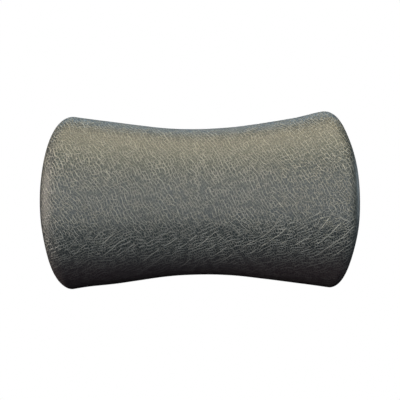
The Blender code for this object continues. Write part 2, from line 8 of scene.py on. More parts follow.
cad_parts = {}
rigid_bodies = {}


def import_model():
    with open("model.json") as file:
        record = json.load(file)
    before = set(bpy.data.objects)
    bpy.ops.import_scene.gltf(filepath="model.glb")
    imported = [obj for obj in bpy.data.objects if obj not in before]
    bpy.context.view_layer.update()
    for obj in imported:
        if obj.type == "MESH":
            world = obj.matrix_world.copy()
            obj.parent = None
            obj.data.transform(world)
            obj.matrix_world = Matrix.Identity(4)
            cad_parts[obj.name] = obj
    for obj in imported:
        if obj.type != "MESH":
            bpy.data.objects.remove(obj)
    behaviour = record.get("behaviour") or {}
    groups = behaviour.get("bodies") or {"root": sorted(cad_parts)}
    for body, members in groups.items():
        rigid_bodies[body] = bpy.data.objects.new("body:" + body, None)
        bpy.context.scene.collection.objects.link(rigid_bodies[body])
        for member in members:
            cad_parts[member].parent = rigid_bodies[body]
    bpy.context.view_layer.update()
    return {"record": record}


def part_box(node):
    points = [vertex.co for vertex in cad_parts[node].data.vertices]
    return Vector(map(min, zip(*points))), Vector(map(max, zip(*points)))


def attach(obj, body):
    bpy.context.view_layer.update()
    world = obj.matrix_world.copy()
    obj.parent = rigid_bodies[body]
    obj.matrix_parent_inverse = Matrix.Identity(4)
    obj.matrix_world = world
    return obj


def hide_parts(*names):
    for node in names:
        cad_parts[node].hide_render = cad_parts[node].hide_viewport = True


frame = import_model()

mm = 0.001


def deselectAll():
    bpy.ops.object.select_all(action="DESELECT")


def makeActive(obj):
    deselectAll()
    obj.select_set(True)
    bpy.context.view_layer.objects.active = obj


def applyPlace(obj):
    makeActive(obj)
    bpy.ops.object.transform_apply(location=True, rotation=True, scale=True)


def newMaterial(name):
    made = bpy.data.materials.new(name)
    made.use_nodes = True
    return made, made.node_tree, made.node_tree.nodes["Principled BSDF"]


def feed(tree, socket, value):
    # a link where the value comes from another node, or the value itself
    if isinstance(value, bpy.types.NodeSocket):
        tree.links.new(value, socket)
    elif isinstance(value, tuple) and len(socket.default_value) > len(value):
        socket.default_value = (*value, 1)
    else:
        socket.default_value = value


def addNode(tree, kind, inputs=None, **settings):
    made = tree.nodes.new(kind)
    for key, value in settings.items():
        setattr(made, key, value)
    for key, value in (inputs or {}).items():
        feed(tree, made.inputs[key], value)
    return made


def mathNode(tree, operation, a, b=0.0):
    return addNode(tree, "ShaderNodeMath", {0: a, 1: b}, operation=operation).outputs[0]


def multiply(tree, first, *others):
    for other in others:
        first = mathNode(tree, "MULTIPLY", first, other)
    return first


def vectorMath(tree, operation, a, b=None, scale=None):
    wanted = {0: a}
    if b is not None:
        wanted[1] = b
    if scale is not None:
        wanted["Scale"] = scale
    return addNode(tree, "ShaderNodeVectorMath", wanted, operation=operation).outputs[0]


def remap(tree, value, low, high, toLow=0.0, toHigh=1.0):
    wanted = {"Value": value, "From Min": low, "From Max": high, "To Min": toLow, "To Max": toHigh}
    return addNode(tree, "ShaderNodeMapRange", wanted, interpolation_type="SMOOTHSTEP").outputs[0]


def mixColour(tree, factor, first, second):
    wanted = {0: factor, 6: first, 7: second}
    return addNode(tree, "ShaderNodeMix", wanted, data_type="RGBA").outputs[2]


def mixValue(tree, factor, first, second):
    wanted = {0: factor, 2: first, 3: second}
    return addNode(tree, "ShaderNodeMix", wanted, data_type="FLOAT").outputs[0]


def noise(tree, vector, scale, detail=2.0, distortion=0.0):
    wanted = {"Vector": vector, "Scale": scale, "Detail": detail, "Distortion": distortion}
    return addNode(tree, "ShaderNodeTexNoise", wanted).outputs["Fac"]


def flatNoise(tree, vector, scale, detail=1.0):
    wanted = {"Vector": vector, "Scale": scale, "Detail": detail}
    return addNode(tree, "ShaderNodeTexNoise", wanted, noise_dimensions="2D").outputs["Fac"]


def split(tree, vector):
    return addNode(tree, "ShaderNodeSeparateXYZ", {0: vector}).outputs


def layered(tree, colour, *layers):
    # each layer is how much of it shows, and its colour
    for amount, over in layers:
        colour = mixColour(tree, amount, colour, over)
    return colour


def surface(tree, shader, colour, roughness, relief, height, normal=None):
    tree.links.new(colour, shader.inputs["Base Color"])
    tree.links.new(roughness, shader.inputs["Roughness"])
    wanted = {"Height": relief, "Distance": height, "Strength": 1.0}
    if normal is not None:
        wanted["Normal"] = normal
    tree.links.new(addNode(tree, "ShaderNodeBump", wanted).outputs[0], shader.inputs["Normal"])


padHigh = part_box("head_pad")[1]
tallPlane = padHigh.y - 16 * mm  # where the pad is tallest

skin = {
    "ground": (0.014, 0.018, 0.020),
    "patch": (0.021, 0.025, 0.026),
    # painted shade: the skin's colour turns darker and warmer towards the bottom, where less light falls
    "paintedShadeBelow": (0.017, 0.011, 0.013),
    "paintedShadeRange": (-32 * mm, -70 * mm),
    # the ridges' pale colour is a painted sheen, standing in for the light their tops catch
    "ridge": (0.262, 0.252, 0.228),
    "roughness": (0.46, 0.34),  # between the ridges, and on them
    "shine": 0.42,
    "bumpHeight": 0.30 * mm,
    "meshHeight": 0.10 * mm,
    "fineShare": 0.13,
    "fineNet": {"cell": 0.8325 * mm, "angle": 100, "stretch": 1.5, "share": 0.3},
    "fineNetTop": 0.5,
    "fineScale": 1400.0,
    "net": {"cell": 1.85 * mm, "angle": 114, "stretch": 1.8, "share": 0.18},
    "netTop": (0.27, 0.58),  # where it is faint, and where it is full
    "netPatches": (170.0, 0.38, 0.60),
    "slowBend": (36.0, 7 * mm),
    "quickBend": (260.0, 0.8 * mm),
    "regionScale": 24.0,
    "sway": 60 * mm,  # how unevenly the kinds of ridge meet
    "steepAbove": -8 * mm,
    "shallowBelow": -34 * mm,
    "creaseTop": (-14 * mm, -26 * mm),
    "creaseBottom": (-66 * mm, -52 * mm),
    "creaseLeft": (-122 * mm, -104 * mm),
    "faint": (-32 * mm, -62 * mm),  # from here to here the ridges get lower
    "faintShare": 0.25,
    "rimStart": 16 * mm,  # how far the smoother rim reaches in front of the tallest plane
    "rimFade": 10 * mm,
    "smoothRight": (129 * mm, 136 * mm),
    "smoothLeft": (-136 * mm, -141 * mm),
    "smoothShare": 0.8,
}

# angles rise from the pad's length, patches are a noise scale and its low and high end
ridges = {
    "steep": {
        "angle": 121,
        "spacing": 2.8 * mm,
        "share": 0.155,
        "wobble": 2.0,
        "waves": 75.0,
        "patches": (190.0, 0.31, 0.55),
        "top": 0.86,
    },
    "shallow": {
        "angle": 20,
        "spacing": 2.8 * mm,
        "share": 0.155,
        "wobble": 2.3,
        "waves": 70.0,
        "patches": (190.0, 0.33, 0.56),
        "top": 0.86,
    },
    "rising": {
        "angle": 38,
        "spacing": 9 * mm,
        "share": 0.065,
        "wobble": 1.6,
        "waves": 22.0,
        "patches": (48.0, 0.47, 0.53),
        "top": 1.0,
    },
    "falling": {
        "angle": 134,
        "spacing": 12.6 * mm,
        "share": 0.0455,
        "wobble": 1.6,
        "waves": 26.0,
        "patches": (52.0, 0.46, 0.38),
        "top": 0.6,
    },
}


def wander(tree, vector, scale, amount):
    # pushes the place about, so that straight lines meander
    wanted = {"Vector": vector, "Scale": scale, "Detail": 1.0}
    drift = addNode(tree, "ShaderNodeTexNoise", wanted, noise_dimensions="2D").outputs["Color"]
    centred = vectorMath(tree, "SUBTRACT", drift, (0.5, 0.5, 0.5))
    return vectorMath(tree, "ADD", vector, vectorMath(tree, "SCALE", centred, scale=amount))


def turned(tree, vector, angle):
    # the first axis then follows a line that rises at the angle to the pad's length
    wanted = {"Vector": vector, "Angle": -math.radians(angle)}
    return addNode(tree, "ShaderNodeVectorRotate", wanted, rotation_type="Z_AXIS").outputs[0]


def net(tree, vector, mesh):
    # a closed net of thin ridges, its cells drawn out along the angle
    size = (mesh["cell"] * mesh["stretch"], mesh["cell"], 1)
    cells = vectorMath(tree, "DIVIDE", turned(tree, vector, mesh["angle"]), size)
    wanted = {"Vector": cells, "Scale": 1.0, "Randomness": 1.0}
    edge = addNode(tree, "ShaderNodeTexVoronoi", wanted, feature="DISTANCE_TO_EDGE", voronoi_dimensions="2D")
    return remap(tree, edge.outputs["Distance"], 0.0, mesh["share"], 1.0, 0.0)


def patches(tree, vector, scale, low, high):
    return remap(tree, flatNoise(tree, vector, scale), low, high)


def folds(tree, vector, flat, ridge):
    # long ridges side by side, which wave, crowd together and die away in patches
    across = split(tree, turned(tree, vector, ridge["angle"]))[1]
    counted = mathNode(tree, "DIVIDE", across, ridge["spacing"])
    drift = multiply(tree, flatNoise(tree, vector, ridge["waves"]), ridge["wobble"])
    beat = mathNode(tree, "FRACT", mathNode(tree, "ADD", counted, drift))
    away = mathNode(tree, "ABSOLUTE", mathNode(tree, "SUBTRACT", beat, 0.5))
    line = remap(tree, away, 0.0, ridge["share"], 1.0, 0.0)
    return multiply(tree, line, patches(tree, flat, *ridge["patches"]), ridge["top"])


def grainLines(tree, flat, place):
    # the skin's ridges and creases, the same for the mesh and for the finish
    x, y, z = split(tree, place)
    bent = wander(tree, wander(tree, flat, *skin["slowBend"]), *skin["quickBend"])

    # the ridges lean one way above, the other way below, over a finer net
    region = flatNoise(tree, flat, skin["regionScale"])
    depth = mixValue(tree, patches(tree, flat, *skin["netPatches"]), *skin["netTop"])
    even = multiply(tree, net(tree, bent, skin["net"]), depth)
    steep = folds(tree, bent, flat, ridges["steep"])
    shallow = folds(tree, bent, flat, ridges["shallow"])
    sway = multiply(tree, mathNode(tree, "SUBTRACT", region, 0.5), skin["sway"])
    swayed = mathNode(tree, "ADD", z, sway)
    lower = remap(tree, swayed, skin["steepAbove"], skin["shallowBelow"])
    grain = mathNode(tree, "MAXIMUM", even, mixValue(tree, lower, steep, shallow))

    # long straight creases cross each other low on the pad
    rising = folds(tree, flat, flat, ridges["rising"])
    falling = folds(tree, flat, flat, ridges["falling"])
    fadeIn = remap(tree, swayed, *skin["creaseTop"])
    fadeOut = remap(tree, swayed, *skin["creaseBottom"])
    inward = remap(tree, x, *skin["creaseLeft"])
    creases = multiply(tree, mathNode(tree, "MAXIMUM", rising, falling), fadeIn, fadeOut, inward)

    # smoother below, towards the back and round the ends
    faint = remap(tree, z, *skin["faint"], 1.0, skin["faintShare"])
    rimEdge = tallPlane - skin["rimStart"]
    rim = remap(tree, y, rimEdge, rimEdge + skin["rimFade"])
    right = remap(tree, x, *skin["smoothRight"])
    left = remap(tree, x, *skin["smoothLeft"])
    ends = mathNode(tree, "MAXIMUM", right, left)
    calm = multiply(tree, mathNode(tree, "MAXIMUM", rim, ends), skin["smoothShare"])
    rough = mathNode(tree, "SUBTRACT", 1.0, calm)
    lines = multiply(tree, mathNode(tree, "MAXIMUM", grain, creases), faint, rough)
    return lines, region, bent


def padSkin():
    made, tree, shader = newMaterial("padSkin")
    unrolled = addNode(tree, "ShaderNodeUVMap", uv_map="unrolled").outputs[0]
    place = addNode(tree, "ShaderNodeTexCoord").outputs["Object"]
    lines, region, bent = grainLines(tree, unrolled, place)
    tiny = multiply(tree, net(tree, bent, skin["fineNet"]), skin["fineNetTop"])
    fine = mathNode(tree, "ADD", tiny, flatNoise(tree, unrolled, skin["fineScale"], 2.0))
    relief = mathNode(tree, "ADD", lines, multiply(tree, fine, skin["fineShare"]))

    # painted shade darkens and warms the skin towards the bottom
    paintedShadeBelowMask = remap(tree, split(tree, place)[2], *skin["paintedShadeRange"])
    colour = layered(
        tree,
        skin["ground"],
        (region, skin["patch"]),
        (paintedShadeBelowMask, skin["paintedShadeBelow"]),
        # painted sheen: the ridges are coloured pale as if lit
        (lines, skin["ridge"]),
    )
    roughness = remap(tree, lines, 0.0, 1.0, *skin["roughness"])
    surface(tree, shader, colour, roughness, relief, skin["bumpHeight"])
    shader.inputs["Specular IOR Level"].default_value = skin["shine"]
    return made


def raiseGrain(made):
    # lifts the ridges in the mesh itself
    tree = bpy.data.node_groups.new("raiseGrain", "GeometryNodeTree")
    tree.interface.new_socket("Geometry", in_out="INPUT", socket_type="NodeSocketGeometry")
    tree.interface.new_socket("Geometry", in_out="OUTPUT", socket_type="NodeSocketGeometry")
    source = addNode(tree, "NodeGroupInput")
    result = addNode(tree, "NodeGroupOutput")
    flat = addNode(tree, "GeometryNodeInputNamedAttribute", {"Name": "laidFlat"}, data_type="FLOAT_VECTOR")
    place = addNode(tree, "GeometryNodeInputPosition").outputs[0]
    normal = addNode(tree, "GeometryNodeInputNormal").outputs[0]
    lines = grainLines(tree, flat.outputs[0], place)[0]
    lift = vectorMath(tree, "SCALE", normal, scale=multiply(tree, lines, skin["meshHeight"]))
    moved = addNode(tree, "GeometryNodeSetPosition", {"Geometry": source.outputs[0], "Offset": lift})
    tree.links.new(moved.outputs[0], result.inputs[0])
    modifier = made.modifiers.new("raiseGrain", "NODES")
    modifier.node_group = tree
    makeActive(made)
    bpy.ops.object.modifier_apply(modifier=modifier.name)


pad = {
    "width": 281 * mm,
    "endHeight": 162 * mm,
    "waistHeight": 137.2 * mm,
    "waistArc": 48 * mm,
    "endBow": 11.4 * mm,
    "endFront": 56 * mm,
    "waistFront": 46 * mm,
    "back": 16 * mm,
    "backCorner": 14 * mm,
    "backBend": 0.35,  # the share of the back's points on each of its corners
    "endRound": 20 * mm,
    "topRound": 15 * mm,
    "frontRound": 11 * mm,
    "leftRound": 20 * mm,
    "tuck": 0.09,  # how much the lower front draws back
    "tuckRange": (0.22, 0.78),
    "lowRound": 10.5 * mm,
    "backRound": 8 * mm,
    "backInset": 0.6,  # of the ends' inset, at the back
    "roundBlend": (0.25, 0.95),
    "endDome": 0.8 * mm,
    "fullness": 2.25,
    "cornerLift": 1.8 * mm,  # of the upper right corner
    "rightCorner": (90 * mm, 125 * mm),
    "leftCorner": (75 * mm, 120 * mm),
    "leftEnd": (100 * mm, 140 * mm),
    "cornerRise": (50 * mm, 80 * mm),
    "leftLift": 1.7 * mm,  # of the lower left corner
    "leftReach": 1.7 * mm,  # how much further the left end stands out half way up
    "unevenness": 0.35 * mm,
    "swells": ((28.0, 0.7), (75.0, 0.3)),
    "evenBehind": 6 * mm,
    "around": 400,
    "frontShare": 0.83,  # of the points round the pad, closer together where it shows
    "cuts": (7, 49),  # one after the other, which make the rings
    "rings": 400,
    "straightShare": 0.88,
    "endShares": (0.88, 0.7, 0.48, 0.24),
    "onSkin": 0.9999,  # a point this far out is not on an end
    "nudge": 1e-6,  # keeps the topmost points at the start of their ring
}


def flare(x):
    reach = abs(x)
    arc = min(reach, pad["waistArc"])
    return arc * arc / 2 + (reach - arc) * pad["waistArc"]


def smooth(low, high, value):
    share = min(1.0, max(0.0, (value - low) / (high - low)))
    return share * share * (3 - 2 * share)


def sectionPoint(turn, halfHeight, front, back):
    # turn is 0 at the top, a half at the bottom and 1 at the top again, by way of the front
    power = 2 / pad["fullness"]
    if turn <= 0.5:
        angle = math.pi * (0.5 - 2 * turn)
        rise = math.copysign(abs(math.sin(angle)) ** power, angle)
        depth = front * (1 - pad["tuck"] * smooth(*pad["tuckRange"], -rise))
        return -depth * abs(math.cos(angle)) ** power, halfHeight * rise
    along = (turn - 0.5) * 2
    side = -1 if along < 0.5 else 1
    bend = pad["backBend"]
    near = along / bend if along < 0.5 else (1 - along) / bend
    corner = min(near, 1) * math.pi / 2
    y = back * math.sin(corner)
    z = halfHeight - pad["backCorner"] * (1 - math.cos(corner))
    if near > 1:
        z *= 1 - (near - 1) * bend / (0.5 - bend)
    return y, side * z


def padPoint(x, share, turn):
    half = pad["width"] / 2 - pad["endDome"]
    spread = flare(x) / flare(pad["width"] / 2 - pad["endRound"])
    halfHeight = pad["waistHeight"] / 2 + spread * (pad["endHeight"] - pad["waistHeight"]) / 2
    front = pad["waistFront"] + spread * (pad["endFront"] - pad["waistFront"])
    middle = (pad["back"] - front) / 2

    # the end's edge is rounder at the top than at the front and below
    up = math.cos(2 * math.pi * turn)
    facing = pad["frontRound"] if x > 0 else pad["leftRound"]
    if turn > 0.5:
        facing = pad["backRound"]
    edge = pad["topRound"] if up > 0 else pad["lowRound"]
    rounding = facing + smooth(*pad["roundBlend"], abs(up)) * (edge - facing)
    over = max(0.0, abs(x) - (half - rounding))
    inset = rounding - math.sqrt(max(0.0, rounding**2 - min(over, rounding) ** 2))
    back = pad["back"] - inset * pad["backInset"]
    y, z = sectionPoint(turn, halfHeight - inset, front - inset, back)
    z *= share
    out = x / half
    drop = pad["endBow"] * out * abs(out) * (2 * z / pad["endHeight"]) ** 2
    dome = math.copysign(pad["endDome"] * (1 - share * share), x) if share < 1 else 0
    reach = pad["leftReach"] * smooth(*pad["leftEnd"], -x) * max(0.0, 1 - (2 * z / pad["endHeight"]) ** 2)
    if z > 0:
        z += pad["cornerLift"] * smooth(*pad["rightCorner"], x) * smooth(*pad["cornerRise"], z)
    else:
        z += pad["leftLift"] * smooth(*pad["leftCorner"], -x) * smooth(*pad["cornerRise"], -z)
    return Vector((x - drop + dome - reach, tallPlane + middle + (y - middle) * share, z))


def unroll(made, places):
    # the skin laid flat: along the pad and round it from the middle of the front, the ends by themselves
    layer = made.data.uv_layers.new(name="unrolled")
    rings = {}
    for place, vertex in zip(places, made.data.vertices):
        if place[1] == 1.0:
            rings.setdefault(place[2], []).append((place[0], vertex.index))
    lengths = {}
    for ring in rings.values():
        ring.sort()
        turns = [turn for turn, index in ring]
        points = [made.data.vertices[index].co for turn, index in ring]
        along = [0.0]
        for first, second in zip(points, points[1:]):
            along.append(along[-1] + (second - first).length)
        middle = along[min(range(len(turns)), key=lambda i: abs(turns[i] - 0.25))]
        for step, (turn, index) in zip(along, ring):
            lengths[index] = (middle - step, along[-1] + (points[0] - points[-1]).length)
    for face in made.data.polygons:
        corners = [(loop, made.data.loops[loop].vertex_index) for loop in face.loop_indices]
        onEnd = any(places[index][1] < 1.0 for loop, index in corners)
        reach = [lengths[index][0] for loop, index in corners if not onEnd]
        for loop, index in corners:
            point = made.data.vertices[index].co
            if onEnd:
                layer.data[loop].uv = (point.y + math.copysign(0.5, point.x), point.z)
                continue
            length, around = lengths[index]
            if length < 0 and max(reach) - length > around / 2:
                length += around
            layer.data[loop].uv = (point.x, length)
    laid = made.data.attributes.new("laidFlat", "FLOAT_VECTOR", "POINT")
    for index, (length, around) in lengths.items():
        laid.data[index].vector = (made.data.vertices[index].co.x, length, 0)


def selectEdgesAlong(made, axis):
    # stays in edit mode, with the edges selected that run along the axis
    bpy.ops.object.mode_set(mode="EDIT")
    bpy.ops.mesh.select_mode(type="EDGE")
    bpy.ops.mesh.select_all(action="DESELECT")
    bpy.ops.object.mode_set(mode="OBJECT")
    for edge in made.data.edges:
        first, second = (made.data.vertices[index].co for index in edge.vertices)
        edge.select = abs(second[axis] - first[axis]) > 1 * mm
    bpy.ops.object.mode_set(mode="EDIT")


def stationAt(share):
    # evenly spaced rings moved closer together round the ends
    half = pad["width"] / 2 - pad["endDome"]
    straight = half - pad["endRound"]
    if abs(share) <= pad["straightShare"]:
        return straight * share / pad["straightShare"]
    along = (abs(share) - pad["straightShare"]) / (1 - pad["straightShare"])
    return math.copysign(straight + pad["endRound"] * math.sin(math.pi / 2 * along), share)


hollow = {
    "gap": 0.3 * mm,
    "corner": 14.3 * mm,
    "overrun": 2 * mm,
    "flangeDepth": 1.5 * mm,
    "flangeRadius": 9.3 * mm,
}


def cutAway(made, cutter):
    makeActive(made)
    modifier = made.modifiers.new("cutAway", "BOOLEAN")
    modifier.operation = "DIFFERENCE"
    modifier.solver = "MANIFOLD"
    modifier.object = cutter
    bpy.ops.object.modifier_apply(modifier=modifier.name)
    bpy.data.meshes.remove(cutter.data)


def hollowBack(made):
    # a pocket for the board, and shallow rounds in it for the nuts' flanges
    low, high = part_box("insert_board")
    front = low.y - hollow["gap"]
    back = padHigh.y + hollow["overrun"]
    deselectAll()
    bpy.ops.mesh.primitive_cube_add(
        size=1,
        location=(0, (front + back) / 2, (low.z + high.z) / 2),
        scale=(high.x - low.x + 2 * hollow["gap"], back - front, high.z - low.z + 2 * hollow["gap"]),
    )
    cutter = bpy.context.object
    applyPlace(cutter)
    selectEdgesAlong(cutter, 1)
    bpy.ops.mesh.bevel(offset=hollow["corner"], segments=12)
    bpy.ops.object.mode_set(mode="OBJECT")
    cutAway(made, cutter)
    for where in ("upper_left", "upper_right", "lower_left", "lower_right"):
        nutLow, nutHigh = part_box("t_nut_" + where)
        deselectAll()
        bpy.ops.mesh.primitive_cylinder_add(
            vertices=48,
            radius=hollow["flangeRadius"],
            depth=hollow["flangeDepth"] + hollow["overrun"],
            location=(
                (nutLow.x + nutHigh.x) / 2,
                front + (hollow["overrun"] - hollow["flangeDepth"]) / 2,
                (nutLow.z + nutHigh.z) / 2,
            ),
            rotation=(math.pi / 2, 0, 0),
        )
        cutter = bpy.context.object
        applyPlace(cutter)
        cutAway(made, cutter)


def makePad():
    half = pad["width"] / 2 - pad["endDome"]
    deselectAll()
    bpy.ops.mesh.primitive_cylinder_add(
        vertices=pad["around"], radius=1, depth=2 * half, end_fill_type="NGON", rotation=(0, math.pi / 2, 0)
    )
    made = bpy.context.object
    made.name = "padSkinned"
    applyPlace(made)
    for cuts in pad["cuts"]:
        selectEdgesAlong(made, 0)
        bpy.ops.mesh.subdivide(number_cuts=cuts)
    bpy.ops.mesh.select_mode(type="FACE")
    bpy.ops.mesh.select_all(action="DESELECT")
    bpy.ops.object.mode_set(mode="OBJECT")
    for face in made.data.polygons:
        face.select = len(face.vertices) == pad["around"]
    bpy.ops.object.mode_set(mode="EDIT")
    bpy.ops.mesh.select_mode(type="FACE")
    before = 1.0
    for share in pad["endShares"]:
        bpy.ops.mesh.inset(thickness=before - share, depth=0, use_even_offset=False)
        before = share
    bpy.ops.mesh.poke()
    bpy.ops.object.mode_set(mode="OBJECT")

    places = []
    for vertex in made.data.vertices:
        x, y, z = vertex.co
        share = min(1.0, math.hypot(y, z))
        share = 1.0 if share > pad["onSkin"] else share
        turn = (math.atan2(-y, z) / (2 * math.pi) + pad["nudge"]) % 1.0  # from the top, round by the front
        if turn <= pad["frontShare"]:
            turn *= 0.5 / pad["frontShare"]
        else:
            turn = 1 - (1 - turn) * 0.5 / (1 - pad["frontShare"])
        ring = round((x / half + 1) * pad["rings"] / 2)
        x = stationAt(x / half)
        point = padPoint(x, share, turn)
        swell = sum(noiseField.noise(point * scale) * part for scale, part in pad["swells"])
        places.append((turn, share, ring))
        swell *= 1 - smooth(0, pad["evenBehind"], point.y - tallPlane)
        vertex.co = point + Vector((0, y, z)) * swell * pad["unevenness"]
    unroll(made, places)
    raiseGrain(made)
    makeActive(made)
    bpy.ops.object.mode_set(mode="EDIT")
    bpy.ops.mesh.select_all(action="SELECT")
    bpy.ops.mesh.normals_make_consistent(inside=False)
    bpy.ops.object.mode_set(mode="OBJECT")
    bpy.ops.object.shade_smooth()
    hollowBack(made)
    made.data.materials.clear()
    made.data.materials.append(padSkin())
    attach(made, "headrest")
    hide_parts("head_pad")
    print("pad", len(made.data.vertices), "vertices")


makePad()


def finish(name):
    made, tree, shader = newMaterial(name)
    place = addNode(tree, "ShaderNodeTexCoord").outputs["Object"]
    return made, tree, shader, place


def drawn(tree, place, scale, detail=2.0):
    # noise drawn out along the axes with the small scales
    stretched = addNode(tree, "ShaderNodeMapping", {0: place, 3: scale}).outputs[0]
    return noise(tree, stretched, 1.0, detail)


rubbing = {"samples": 6, "corner": (0.99, 0.86)}  # how far the softened normal turns away


def edges(tree, radius, uneven=1.0):
    # softened corners, and where they are rubbed
    rounded = addNode(tree, "ShaderNodeBevel", {"Radius": radius}, samples=rubbing["samples"]).outputs[0]
    plain = addNode(tree, "ShaderNodeNewGeometry").outputs["Normal"]
    dot = addNode(tree, "ShaderNodeVectorMath", {0: rounded, 1: plain}, operation="DOT_PRODUCT")
    corner = remap(tree, dot.outputs["Value"], *rubbing["corner"])
    return rounded, multiply(tree, corner, uneven)


# in the finishes' dictionaries a noise is its scale, detail and distortion,
# a drawn noise is its scales along the axes and its detail, and a range is where it starts and ends
powderCoat = {
    "colour": (0.030, 0.030, 0.033),
    "thin": (0.052, 0.052, 0.056),
    "scuffed": (0.12, 0.12, 0.12),
    "bare": (0.34, 0.33, 0.31),
    "peel": (620.0, 2.0),
    "peelHeight": 0.09 * mm,
    "dust": (55.0, 4.0, 0.4),
    "dustRange": (0.35, 0.7),
    "rub": (140.0, 3.0),
    "rubRange": (0.50, 0.62),
    "scuff": ((160.0, 1500.0, 700.0), 3.0),
    "scuffRange": (0.60, 0.72),
    "corner": 0.5 * mm,
    "wornShare": 0.8,
    "scuffShare": 0.25,
    "dustShare": 0.6,
    "roughRange": (0.55, 1.05),
    "roughness": (0.36, 0.52),
}


def makePowderCoat():
    # orange peel, a dusting of scuffs, and bare steel showing on the corners
    made, tree, shader, place = finish("powderCoat")
    peel = noise(tree, place, *powderCoat["peel"])
    dust = noise(tree, place, *powderCoat["dust"])
    rub = remap(tree, noise(tree, place, *powderCoat["rub"]), *powderCoat["rubRange"])
    rounded, worn = edges(tree, powderCoat["corner"], rub)
    worn = multiply(tree, worn, powderCoat["wornShare"])
    scuff = remap(tree, drawn(tree, place, *powderCoat["scuff"]), *powderCoat["scuffRange"])
    colour = layered(
        tree,
        powderCoat["colour"],
        (remap(tree, dust, *powderCoat["dustRange"]), powderCoat["thin"]),
        (multiply(tree, scuff, powderCoat["scuffShare"]), powderCoat["scuffed"]),
        (worn, powderCoat["bare"]),
    )
    both = mathNode(tree, "ADD", peel, multiply(tree, dust, powderCoat["dustShare"]))
    rough = remap(tree, both, *powderCoat["roughRange"], *powderCoat["roughness"])
    surface(tree, shader, colour, rough, peel, powderCoat["peelHeight"], rounded)
    tree.links.new(worn, shader.inputs["Metallic"])
    return made


zincPlate = {
    "colour": (0.60, 0.61, 0.63),
    "blue": (0.50, 0.55, 0.64),
    "straw": (0.66, 0.62, 0.50),
    "stain": (0.30, 0.29, 0.28),
    "bright": (0.78, 0.78, 0.78),
    "tint": (130.0, 2.0, 0.6),
    "blueRange": (0.35, 0.5),
    "strawRange": (0.52, 0.68),
    "marks": (5200.0, 900.0, 300.0),
    "crossMarks": (300.0, 5200.0, 900.0),
    "markHeight": 0.008 * mm,
    "specks": (900.0, 3.0),
    "speckRange": (0.62, 0.74),
    "corner": 0.25 * mm,
    "speckShare": 0.5,
    "wornShare": 0.5,
    "roughRange": (0.7, 1.3),
    "roughness": (0.24, 0.42),
}


def makeZinc():
    # bright zinc with its faint blue and straw tints, fine drawing marks and dull specks
    made, tree, shader, place = finish("zincPlate")
    tint = noise(tree, place, *zincPlate["tint"])
    marks = drawn(tree, place, zincPlate["marks"])
    across = drawn(tree, place, zincPlate["crossMarks"])
    specks = remap(tree, noise(tree, place, *zincPlate["specks"]), *zincPlate["speckRange"])
    rounded, worn = edges(tree, zincPlate["corner"])
    colour = layered(
        tree,
        zincPlate["blue"],
        (remap(tree, tint, *zincPlate["blueRange"]), zincPlate["colour"]),
        (remap(tree, tint, *zincPlate["strawRange"]), zincPlate["straw"]),
        (multiply(tree, specks, zincPlate["speckShare"]), zincPlate["stain"]),
        (multiply(tree, worn, zincPlate["wornShare"]), zincPlate["bright"]),
    )
    relief = mathNode(tree, "ADD", marks, across)
    rough = remap(tree, relief, *zincPlate["roughRange"], *zincPlate["roughness"])
    surface(tree, shader, colour, rough, relief, zincPlate["markHeight"], rounded)
    shader.inputs["Metallic"].default_value = 1.0
    return made


turnedBrass = {
    "colour": (0.72, 0.54, 0.25),
    "dull": (0.46, 0.32, 0.15),
    "bright": (0.85, 0.68, 0.38),
    "rings": (3600.0, 90.0, 90.0),
    "ringHeight": 0.012 * mm,
    "tarnish": (170.0, 4.0, 0.5),
    "tarnishRange": (0.42, 0.75),
    "corner": 0.2 * mm,
    "wornShare": 0.5,
    "tarnishShare": 0.1,
    "roughRange": (0.3, 0.7),
    "roughness": (0.18, 0.34),
}


def makeBrass():
    # cutting marks round the turned pieces' axis, duller where it has been handled
    made, tree, shader, place = finish("turnedBrass")
    rings = drawn(tree, place, turnedBrass["rings"])
    tarnish = noise(tree, place, *turnedBrass["tarnish"])
    rounded, worn = edges(tree, turnedBrass["corner"])
    colour = layered(
        tree,
        turnedBrass["colour"],
        (remap(tree, tarnish, *turnedBrass["tarnishRange"]), turnedBrass["dull"]),
        (multiply(tree, worn, turnedBrass["wornShare"]), turnedBrass["bright"]),
    )
    polish = remap(tree, rings, *turnedBrass["roughRange"], *turnedBrass["roughness"])
    rough = mathNode(tree, "ADD", polish, multiply(tree, tarnish, turnedBrass["tarnishShare"]))
    surface(tree, shader, colour, rough, rings, turnedBrass["ringHeight"], rounded)
    shader.inputs["Metallic"].default_value = 1.0
    return made


mouldedNylon = {
    "colour": (0.034, 0.035, 0.037),
    "glass": (0.060, 0.061, 0.062),
    "rubbed": (0.105, 0.105, 0.104),
    "spark": (2300.0, 3.0),
    "sparkHeight": 0.035 * mm,
    "flow": ((60.0, 60.0, 260.0), 4.0),
    "flowRange": (0.45, 0.75),
    "rub": (220.0, 2.0),
    "rubRange": (0.4, 0.6),
    "corner": 0.5 * mm,
    "shine": 0.45,
    "wornShare": 0.7,
    "roughRange": (0.7, 1.3),
    "roughness": (0.44, 0.60),
}


def makeNylon():
    # spark-eroded mould texture with pale glass fibre clouds
    made, tree, shader, place = finish("mouldedNylon")
    spark = noise(tree, place, *mouldedNylon["spark"])
    flow = drawn(tree, place, *mouldedNylon["flow"])
    rub = remap(tree, noise(tree, place, *mouldedNylon["rub"]), *mouldedNylon["rubRange"])
    rounded, worn = edges(tree, mouldedNylon["corner"], rub)
    colour = layered(
        tree,
        mouldedNylon["colour"],
        (remap(tree, flow, *mouldedNylon["flowRange"]), mouldedNylon["glass"]),
        (multiply(tree, worn, mouldedNylon["wornShare"]), mouldedNylon["rubbed"]),
    )
    both = mathNode(tree, "ADD", spark, flow)
    rough = remap(tree, both, *mouldedNylon["roughRange"], *mouldedNylon["roughness"])
    surface(tree, shader, colour, rough, spark, mouldedNylon["sparkHeight"], rounded)
    shader.inputs["Specular IOR Level"].default_value = mouldedNylon["shine"]
    return made


